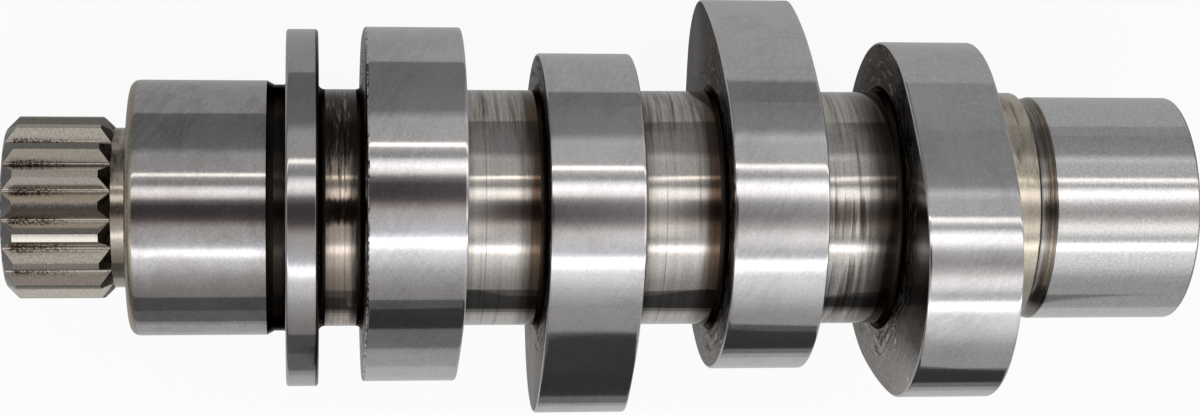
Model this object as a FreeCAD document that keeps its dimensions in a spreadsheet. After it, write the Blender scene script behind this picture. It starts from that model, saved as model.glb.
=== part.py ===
# Camshaft of a small pushrod engine: splined drive end, two ground journals, thrust flange and four lobes.
# Millimetres. The shaft axis is X, with the splined drive end at +X. The origin is on the axis, at the
# centre of the front journal. +Z is up with the shaft lying as it comes to rest on a bench.
import FreeCAD, Part
import math
import os

import Sketcher
from FreeCAD import Placement, Rotation, Vector

# Driving sizes, in millimetres and degrees
SIZES = {
    # splined drive end
    "spline_length": 13.0,
    "spline_major_radius": 11.3,
    "spline_root_radius": 10.0,
    "spline_root_width": 0.3,
    "spline_flank_angle": 96.0,
    "spline_teeth": 18,
    "spline_phase": 2.1,
    "spline_front_chamfer": 1.5,
    "spline_rear_taper": 1.4,
    # plain neck between the spline and the front journal
    "front_neck_length": 1.9,
    "front_neck_radius": 9.9,
    # front journal with its grinding relief
    "front_journal_length": 16.7,
    "front_journal_radius": 15.875,
    "front_journal_round": 1.2,
    "relief_taper": 0.9,
    "relief_length": 1.45,
    "relief_depth": 0.5,
    "relief_corner": 0.35,
    # thrust flange
    "flange_thickness": 3.95,
    "flange_radius": 22.3,
    "flange_chamfer": 0.4,
    # turned neck that carries the lobes
    "first_neck_length": 5.43,
    "neck_radius": 14.83,
    "neck_corner": 0.8,
    "rear_neck_length": 5.87,
    "rear_neck_chamfer": 0.35,
    # lobes
    "lobe_width": 11.55,
    "lobe_pitch": 22.0,
    "lobe_edge_break": 0.25,
    # rear journal with its grinding relief
    "rear_groove_length": 0.8,
    "rear_groove_radius": 13.88,
    "rear_taper_length": 1.45,
    "rear_journal_length": 18.35,
    "rear_journal_radius": 14.2875,
    "rear_end_chamfer": 0.3,
    # tapped hole for the sprocket bolt, in the splined end
    "bolt_bore_radius": 4.25,
    "bolt_bore_depth": 30.0,
    "bolt_mouth_radius": 5.1,
    "bolt_mouth_depth": 0.85,
    "bolt_point_depth": 2.5,
    # centre hole in the rear end, left from grinding between centres
    "centre_mouth_radius": 3.4,
    "centre_mouth_depth": 3.1,
    "centre_pilot_radius": 1.6,
    "centre_pilot_depth": 6.5,
    "centre_point_depth": 0.9,
}

# Each lobe's base circle, lift, nose radius and flank radius, and the way its nose points, from +Y towards +Z
LOBES = {
    "lobe_one": {"base": 21.75, "lift": 8.6, "nose": 19.3, "flank": 114.0, "angle": 114.6},
    "lobe_two": {"base": 19.5, "lift": 7.55, "nose": 11.7, "flank": 52.0, "angle": -6.8},
    "lobe_three": {"base": 20.5, "lift": 8.1, "nose": 10.3, "flank": 50.4, "angle": -145.6},
    "lobe_four": {"base": 21.25, "lift": 7.5, "nose": 17.8, "flank": 66.3, "angle": 68.8},
}

NODE = "camshaft"
SHEET = "Sizes"
ORIGIN = (-1, 1)
X_AXIS = -1

# Places along the axis, as distances from the origin back to the rear or out to the front
FLANGE_FRONT = "front_journal_length * 0.5 + relief_taper + relief_length"
FLANGE_BACK = FLANGE_FRONT + " + flange_thickness"
FIRST_LOBE = FLANGE_BACK + " + first_neck_length"
NECK_END = FIRST_LOBE + " + lobe_pitch * 3 + lobe_width + rear_neck_length"
REAR_END = NECK_END + " + rear_groove_length + rear_taper_length + rear_journal_length"
SPLINE_END = "front_journal_length * 0.5 + front_neck_length + spline_length"

# Places that differ by less than this are the same
TOUCH = 0.001


def make_sheet(doc):
    """A spreadsheet with one named cell for each driving size."""
    sheet = doc.addObject("Spreadsheet::Sheet", SHEET)
    values = dict(SIZES)
    for lobe, lobe_sizes in LOBES.items():
        for word, value in lobe_sizes.items():
            values[lobe + "_" + word] = value
    for row, (alias, value) in enumerate(values.items(), start=1):
        sheet.set("A%d" % row, alias)
        sheet.set("B%d" % row, str(value))
        sheet.setAlias("B%d" % row, alias)
    doc.recompute()


def in_cells(expression):
    """The expression with the sheet's name put before each size."""
    words = []
    for word in expression.split():
        is_size = word in SIZES or word.rsplit("_", 1)[0] in LOBES
        words.append(SHEET + "." + word if is_size else word)
    return " ".join(words)


def work_out(expression):
    """The number that a sum or difference of sizes and their multiples comes to."""
    total = 0.0
    sign = 1.0
    product = 1.0
    for word in expression.split() + ["+"]:
        if word in ("+", "-"):
            total += sign * product
            sign = 1.0 if word == "+" else -1.0
            product = 1.0
        elif word != "*":
            product *= SIZES[word] if word in SIZES else float(word)
    return total


def origin_part(body, role):
    return next(part for part in body.Origin.OriginFeatures if part.Role == role)


def new_sketch(body, name, role):
    sketch = body.newObject("Sketcher::SketchObject", name)
    sketch.AttachmentSupport = [(origin_part(body, role), "")]
    sketch.MapMode = "FlatFace"
    return sketch


def cross_section(body, name, place):
    """A sketch square to the axis, at a place given as a distance along +X."""
    sketch = new_sketch(body, name, "YZ_Plane")
    sketch.setExpression("AttachmentOffset.Base.z", in_cells(place))
    return sketch


def bind(sketch, name, expression, *constraint):
    """A named dimension of the sketch that the sheet drives."""
    sketch.addConstraint(Sketcher.Constraint(*constraint))
    sketch.renameConstraint(sketch.ConstraintCount - 1, name)
    sketch.setExpression("Constraints." + name, in_cells(expression))


def add_loop(sketch, corners):
    """Closed outline of straight lines through the corners, in an empty sketch."""
    count = len(corners)
    for index, corner in enumerate(corners):
        following = corners[(index + 1) % count]
        sketch.addGeometry(Part.LineSegment(Vector(*corner, 0), Vector(*following, 0)), False)
    for index in range(count):
        sketch.addConstraint(Sketcher.Constraint("Coincident", index, 2, (index + 1) % count, 1))


def stepped_profile(body, name, start, steps):
    """Half profile on the axis, from a start place through steps of length, first radius and last radius."""
    sketch = new_sketch(body, name, "XZ_Plane")
    x = work_out(start)
    corners = [(x, 0.0)]
    made_by = [(None, None)]
    last_radius = "0"
    for length, first_radius, end_radius in steps:
        if first_radius != last_radius:
            corners.append((x, work_out(first_radius)))
            made_by.append((None, first_radius))
        x += work_out(length)
        corners.append((x, work_out(end_radius)))
        made_by.append((length, end_radius))
        last_radius = end_radius
    if last_radius != "0":
        corners.append((x, 0.0))
        made_by.append((None, None))
    add_loop(sketch, corners)
    bind(sketch, "start", start, "DistanceX", *ORIGIN, 0, 1, work_out(start))
    sketch.addConstraint(Sketcher.Constraint("PointOnObject", 0, 1, X_AXIS))
    sketch.addConstraint(Sketcher.Constraint("PointOnObject", len(corners) - 1, 1, X_AXIS))
    for index in range(1, len(corners)):
        length, radius = made_by[index]
        y = corners[index][1]
        if length is None:
            sketch.addConstraint(Sketcher.Constraint("Vertical", index - 1))
        else:
            name = "length_%d" % index
            bind(sketch, name, length, "DistanceX", index - 1, 1, index, 1, work_out(length))
        if radius not in (None, "0"):
            bind(sketch, "radius_%d" % index, radius, "DistanceY", *ORIGIN, index, 1, y)
    return sketch


def revolve(body, kind, name, sketch):
    feature = body.newObject(kind, name)
    feature.Profile = sketch
    feature.ReferenceAxis = (sketch, ["H_Axis"])
    feature.Angle = 360.0
    return feature


def turned_shaft(body):
    """The shaft as it leaves the lathe, from its rear end to the splined end."""
    rear_edge = "rear_journal_radius - rear_end_chamfer"
    neck_edge = "neck_radius - rear_neck_chamfer"
    neck_length = "first_neck_length + lobe_pitch * 3 + lobe_width + rear_neck_length - rear_neck_chamfer"
    relief = "front_journal_radius - relief_depth"
    spline_front = "spline_major_radius - spline_front_chamfer"
    spline_straight = "spline_length - spline_rear_taper - spline_front_chamfer"
    steps = [
        ("rear_end_chamfer", rear_edge, "rear_journal_radius"),
        ("rear_journal_length - rear_end_chamfer", "rear_journal_radius", "rear_journal_radius"),
        ("rear_taper_length", "rear_journal_radius", "rear_groove_radius"),
        ("rear_groove_length", "rear_groove_radius", "rear_groove_radius"),
        ("rear_neck_chamfer", neck_edge, "neck_radius"),
        (neck_length, "neck_radius", "neck_radius"),
        ("flange_thickness", "flange_radius", "flange_radius"),
        ("relief_length", relief, relief),
        ("relief_taper", relief, "front_journal_radius"),
        ("front_journal_length", "front_journal_radius", "front_journal_radius"),
        ("front_neck_length", "front_neck_radius", "front_neck_radius"),
        ("spline_rear_taper", "front_neck_radius", "spline_major_radius"),
        (spline_straight, "spline_major_radius", "spline_major_radius"),
        ("spline_front_chamfer", "spline_major_radius", spline_front),
    ]
    sketch = stepped_profile(body, "ShaftProfile", negated(REAR_END), steps)
    return revolve(body, "PartDesign::Revolution", "TurnedShaft", sketch)


def negated(expression):
    """The expression with each of its terms' signs turned."""
    swapped = {"+": "-", "-": "+"}
    return "0 - " + " ".join(swapped.get(word, word) for word in expression.split())


def lobe_arcs(base, lift, nose, flank, angle):
    """Base, flank, nose and flank arcs of a cam, each joined to the next by its tangent."""
    nose_offset = base + lift - nose
    reach = flank - base
    spread = (reach ** 2 + nose_offset ** 2 - (flank - nose) ** 2) / (2 * reach * nose_offset)
    base_half = math.pi - math.acos(spread)
    centre_x = -reach * math.cos(base_half)
    centre_y = -reach * math.sin(base_half)
    nose_half = math.atan2(-centre_y, nose_offset - centre_x)
    turn = math.radians(angle)
    outline = [
        (0.0, 0.0, base, base_half, 2 * math.pi - base_half),
        (centre_x, -centre_y, flank, -base_half, -nose_half),
        (nose_offset, 0.0, nose, -nose_half, nose_half),
        (centre_x, centre_y, flank, nose_half, base_half),
    ]
    arcs = []
    for x, y, radius, start, end in outline:
        centre = Rotation(Vector(0, 0, 1), angle).multVec(Vector(x, y, 0))
        circle = Part.Circle(centre, Vector(0, 0, 1), radius)
        arcs.append(Part.ArcOfCircle(circle, turn + start, turn + end))
    return arcs


def lobe(body, number, name):
    """One ground cam lobe, padded along the shaft from its rear face."""
    sizes = LOBES[name]
    rear_face = FIRST_LOBE + " + lobe_pitch * %d + lobe_width" % number
    label = name.title().replace("_", "")
    sketch = cross_section(body, label + "Outline", negated(rear_face))
    arcs = lobe_arcs(**sizes)
    sketch.addGeometry(arcs, False)
    for index in range(len(arcs)):
        following = (index + 1) % len(arcs)
        sketch.addConstraint(Sketcher.Constraint("Tangent", index, 2, following, 1))
    sketch.addConstraint(Sketcher.Constraint("Coincident", 0, 3, *ORIGIN))
    for index, word in enumerate(("base", "flank", "nose", "flank")):
        radius_name = "%s_radius_%d" % (word, index)
        bind(sketch, radius_name, name + "_" + word, "Radius", index, sizes[word])
    nose_centre = arcs[2].Center
    sketch.addGeometry(Part.LineSegment(Vector(0, 0, 0), nose_centre), True)
    nose_line = len(arcs)
    sketch.addConstraint(Sketcher.Constraint("Coincident", nose_line, 1, *ORIGIN))
    sketch.addConstraint(Sketcher.Constraint("Coincident", nose_line, 2, 2, 3))
    nose_offset = "%s_base + %s_lift - %s_nose" % (name, name, name)
    bind(sketch, "nose_offset", nose_offset, "Distance", nose_line, nose_centre.Length)
    bind(sketch, "nose_angle", name + "_angle", "Angle", nose_line, math.radians(sizes["angle"]))
    pad = body.newObject("PartDesign::Pad", label)
    pad.Profile = sketch
    pad.setExpression("Length", in_cells("lobe_width"))
    return pad


def edges_where(shape, test):
    """Names of the shape's edges that pass the test, for a fillet or chamfer to take."""
    return ["Edge%d" % (index + 1) for index, edge in enumerate(shape.Edges) if test(edge)]


def lies_square(edge, place):
    """Whether the edge lies in the plane square to the axis at the place."""
    ends_there = all(abs(vertex.X - place) < TOUCH for vertex in edge.Vertexes)
    return ends_there and edge.BoundBox.XLength < TOUCH


def is_circle(edge, place, radius):
    """Whether the edge is the circle of that radius about the axis at the place."""
    curve = edge.Curve
    if not isinstance(curve, Part.Circle) or not lies_square(edge, place):
        return False
    off_axis = math.hypot(curve.Center.y, curve.Center.z)
    return abs(curve.Radius - radius) < TOUCH and off_axis < TOUCH


def dress(doc, body, kind, name, property_name, alias, test):
    """A fillet or chamfer on every edge that passes the test."""
    doc.recompute()
    base = body.Tip
    feature = body.newObject(kind, name)
    feature.Base = (base, edges_where(base.Shape, test))
    feature.setExpression(property_name, in_cells(alias))
    return feature


def break_edges(doc, body):
    """Sloped corners beside the necks and the relief, and the broken or rounded outer edges."""
    faces = []
    for number in range(len(LOBES)):
        front = -work_out(FIRST_LOBE + " + lobe_pitch * %d" % number)
        faces += [front, front - SIZES["lobe_width"]]
    flange_back = -work_out(FLANGE_BACK)
    flange_front = -work_out(FLANGE_FRONT)
    neck = SIZES["neck_radius"]
    relief = work_out("front_journal_radius - relief_depth")
    journal_front = work_out("front_journal_length * 0.5")

    def is_neck_corner(edge):
        return any(is_circle(edge, place, neck) for place in faces + [flange_back])

    def is_lobe_edge(edge):
        start = edge.Vertexes[0]
        beyond_corner = math.hypot(start.Y, start.Z) > neck + SIZES["neck_corner"] + TOUCH
        return beyond_corner and any(lies_square(edge, place) for place in faces)

    def is_flange_edge(edge):
        return any(is_circle(edge, place, SIZES["flange_radius"]) for place in (flange_back, flange_front))

    def is_relief_corner(edge):
        return is_circle(edge, flange_front, relief)

    def is_journal_edge(edge):
        return is_circle(edge, journal_front, SIZES["front_journal_radius"])

    chamfer = "PartDesign::Chamfer"
    dress(doc, body, chamfer, "NeckCorners", "Size", "neck_corner", is_neck_corner)
    dress(doc, body, chamfer, "LobeEdges", "Size", "lobe_edge_break", is_lobe_edge)
    dress(doc, body, chamfer, "FlangeEdges", "Size", "flange_chamfer", is_flange_edge)
    dress(doc, body, chamfer, "ReliefCorner", "Size", "relief_corner", is_relief_corner)
    dress(doc, body, "PartDesign::Fillet", "JournalRound", "Radius", "front_journal_round", is_journal_edge)


def spline(doc, body):
    """One gap between teeth, cut from the front face and repeated round the axis."""
    sketch = cross_section(body, "SplineGap", SPLINE_END)
    sketch.setExpression("AttachmentOffset.Rotation.Angle", in_cells("spline_phase"))
    half_root = SIZES["spline_root_width"] * 0.5
    root = SIZES["spline_root_radius"]
    overcut = 2 * SIZES["spline_major_radius"] - root
    lean = math.radians(SIZES["spline_flank_angle"] * 0.5)
    half_top = half_root + (overcut - root) * math.tan(lean)
    corners = [(-half_root, root), (half_root, root), (half_top, overcut), (-half_top, overcut)]
    add_loop(sketch, corners)
    sketch.addConstraint(Sketcher.Constraint("Symmetric", 0, 1, 0, 2, -2))
    sketch.addConstraint(Sketcher.Constraint("Symmetric", 2, 1, 2, 2, -2))
    bind(sketch, "root_width", "spline_root_width", "DistanceX", 0, 1, 0, 2, 2 * half_root)
    bind(sketch, "root_radius", "spline_root_radius", "DistanceY", *ORIGIN, 0, 1, root)
    top = "spline_major_radius * 2 - spline_root_radius"
    bind(sketch, "top", top, "DistanceY", *ORIGIN, 2, 1, overcut)
    bind(sketch, "flank_angle", "spline_flank_angle", "Angle", 1, 1, 3, 2, 2 * lean)
    gap = body.newObject("PartDesign::Pocket", "SplineCut")
    gap.Profile = sketch
    gap.setExpression("Length", in_cells("spline_length"))
    doc.recompute()
    teeth = body.newObject("PartDesign::PolarPattern", "SplineTeeth")
    teeth.Originals = [gap]
    teeth.Axis = (origin_part(body, "X_Axis"), [""])
    teeth.Angle = 360.0
    teeth.setExpression("Occurrences", in_cells("spline_teeth"))
    body.Tip = teeth
    return teeth


def bolt_bore(body):
    """Tapped hole for the sprocket bolt, up from its drill point to its mouth in the splined end."""
    straight = "bolt_bore_depth - bolt_mouth_depth"
    start = SPLINE_END + " - bolt_bore_depth - bolt_point_depth"
    steps = [
        ("bolt_point_depth", "0", "bolt_bore_radius"),
        (straight, "bolt_bore_radius", "bolt_bore_radius"),
        ("bolt_mouth_depth", "bolt_bore_radius", "bolt_mouth_radius"),
    ]
    sketch = stepped_profile(body, "BoltBoreProfile", start, steps)
    return revolve(body, "PartDesign::Groove", "BoltBore", sketch)


def centre_hole(body):
    """Centre-drilled hole in the rear end, from its mouth in to its point."""
    pilot = "centre_pilot_depth - centre_mouth_depth"
    steps = [
        ("centre_mouth_depth", "centre_mouth_radius", "centre_pilot_radius"),
        (pilot, "centre_pilot_radius", "centre_pilot_radius"),
        ("centre_point_depth", "centre_pilot_radius", "0"),
    ]
    sketch = stepped_profile(body, "CentreHoleProfile", negated(REAR_END), steps)
    return revolve(body, "PartDesign::Groove", "CentreHole", sketch)


def check(doc, body):
    """Stops if any object has failed or the finished solid isn't one sound solid."""
    for thing in doc.Objects:
        if "Invalid" in thing.State or "Error" in thing.State:
            raise RuntimeError("%s has failed: %s" % (thing.Name, thing.State))
    shape = body.Shape
    if shape.isNull() or not shape.isValid() or len(shape.Solids) != 1:
        raise RuntimeError("%s isn't one valid solid" % body.Label)


def main():
    doc = FreeCAD.newDocument("Camshaft")
    make_sheet(doc)
    body = doc.addObject("PartDesign::Body", "Camshaft")
    body.Label = NODE
    body.Placement = Placement(Vector(0, 0, 0), Rotation())
    turned_shaft(body)
    for number, name in enumerate(LOBES):
        lobe(body, number, name)
    break_edges(doc, body)
    cuts = [lambda: spline(doc, body), lambda: bolt_bore(body), lambda: centre_hole(body)]
    for cut in cuts:
        doc.recompute()
        before = body.Shape.Volume
        feature = cut()
        doc.recompute()
        if body.Shape.Volume > before - TOUCH:
            raise RuntimeError("%s cuts nothing" % feature.Name)
    check(doc, body)
    os.makedirs("parts", exist_ok=True)
    body.Shape.exportStep("parts/%s.step" % body.Label)
    print("volume %.0f mm3, %d faces, %d edges" % (
        body.Shape.Volume, len(body.Shape.Faces), len(body.Shape.Edges)))


main()
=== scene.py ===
from math import acos, atan2, cos, hypot, pi, radians, sin, sqrt, tan

import bmesh
import bpy
from bmesh.types import BMEdge, BMFace, BMVert
from mathutils import Matrix, Vector


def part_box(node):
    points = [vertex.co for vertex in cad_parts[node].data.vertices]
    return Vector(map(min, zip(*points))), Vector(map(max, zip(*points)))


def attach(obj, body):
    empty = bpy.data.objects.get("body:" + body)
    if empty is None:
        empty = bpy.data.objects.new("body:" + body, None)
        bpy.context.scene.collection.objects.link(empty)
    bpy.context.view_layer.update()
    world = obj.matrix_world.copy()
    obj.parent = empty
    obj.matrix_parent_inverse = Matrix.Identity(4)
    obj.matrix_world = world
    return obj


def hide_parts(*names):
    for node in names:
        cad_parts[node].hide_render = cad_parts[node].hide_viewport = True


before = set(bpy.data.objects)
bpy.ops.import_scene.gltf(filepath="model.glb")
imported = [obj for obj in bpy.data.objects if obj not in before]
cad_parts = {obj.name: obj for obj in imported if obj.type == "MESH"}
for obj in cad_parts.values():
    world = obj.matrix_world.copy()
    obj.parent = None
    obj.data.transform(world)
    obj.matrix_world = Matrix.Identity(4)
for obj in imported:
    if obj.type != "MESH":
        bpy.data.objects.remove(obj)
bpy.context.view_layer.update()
mm = 0.001
print("frame loaded")

# The shaft: its places along the axis and radii, in millimetres

shaft = {
    "splineFront": 23.25,
    "splineBack": 10.25,
    "splineRadius": 11.3,
    "frontChamfer": 1.5,
    "backTaper": 1.4,
    "frontNeckRadius": 9.9,
    "frontNeckCorner": 0.35,
    "frontJournalHalf": 8.35,
    "frontJournalRadius": 15.875,
    "frontJournalRound": 1.2,
    "reliefTaper": 0.9,
    "reliefLength": 1.45,
    "reliefDepth": 0.5,
    "reliefCorner": 0.35,
    "flangeThickness": 3.95,
    "flangeRadius": 22.3,
    "flangeEdge": 0.4,
    "firstNeckLength": 5.43,
    "neckRadius": 14.83,
    "neckCorner": 0.8,
    "rearNeckLength": 5.87,
    "rearNeckEdge": 0.35,
    "lobeWidth": 11.55,
    "lobePitch": 22.0,
    "lobeEdge": 0.25,
    "grooveLength": 0.8,
    "grooveRadius": 13.88,
    "grooveDark": 0.35,       # the part of the groove coloured near-black as painted shade
    "rearTaper": 1.45,
    "taperStart": 0.2,        # length and rise of the streaked first part of the rear taper
    "taperStartRise": 0.056,
    "rearJournalLength": 18.35,
    "rearJournalRadius": 14.2875,
    "rearEdge": 0.3,
    "edgeBand": 0.15,         # a narrow band beside a rounded edge, to keep the shading even
    "boreRadius": 4.25,
    "boreDepth": 30.0,
    "boreMouthRadius": 5.1,
    "boreMouthDepth": 0.85,
    "borePoint": 2.5,
    "threadPitch": 1.058,
    "threadDepth": 0.42,
    "threadTurns": 22,
    "threadFade": 1.2,        # the length over which the thread starts
    "plainBore": 3.5,         # the part of the bore past its thread
    "centreMouthRadius": 3.4,
    "centreMouthDepth": 3.1,
    "centrePilotRadius": 1.6,
    "centrePilotDepth": 6.5,
    "centrePoint": 0.9,
}

splineShape = {
    "teeth": 18,
    "rootRadius": 10.0,
    "rootWidth": 0.3,
    "flankAngle": 96.0,  # between the two flanks of a gap
    "phase": 92.1,       # the middle of the first gap, from +Y towards +Z
    "cornerStep": 7,     # the spoke, counted from the middle of a gap, at the edge of its land
    "roundStep": 3,      # the spoke where the rounded root meets the flank
}

# Each lobe's arcs, and the way its nose points, from +Y towards +Z; the finishes of its neck and its track
lobes = [
    {"base": 21.75, "lift": 8.6, "nose": 19.3, "flank": 114.0, "angle": 114.6,
     "neck": "darkNeck", "edge": "pittedEdge", "track": "brightTrack"},
    {"base": 19.5, "lift": 7.55, "nose": 11.7, "flank": 52.0, "angle": -6.8,
     "neck": "turnedNeck", "edge": "satinTrack", "track": "satinTrack"},
    {"base": 20.5, "lift": 8.1, "nose": 10.3, "flank": 50.4, "angle": -145.6,
     "neck": "turnedNeck", "edge": "satinTrack", "track": "satinTrack"},
    {"base": 21.25, "lift": 7.5, "nose": 17.8, "flank": 66.3, "angle": 68.8,
     "neck": "streakedNeck", "edge": "satinTrack", "track": "satinTrack"},
]

skin = {
    "spokes": 360,       # vertices round each ring, 20 for each gap and tooth of the spline
    "boreSpokes": 90,
    "centreSpokes": 60,
    "threadRings": 8,    # for each turn of the thread
    "boreTip": 0.03,     # radius at a hole's point, as a share of the hole's
    "centreTip": 0.05,
    "sharpEdge": 28,     # degrees between two faces from which their edge is sharp
}

# Finish of each zone of the skin: lengths in metres, densities per metre, and places across the shaft in
# millimetres from its axis towards +Y. Where a stain's cover is given across the shaft, its blotches are
# stain, and the change of cover is painted shade, darker on some bands of a neck than on others

usual = {"around": 2500.0, "soft": 0.06, "stainRough": 0.06, "density": 1500.0}

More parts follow.
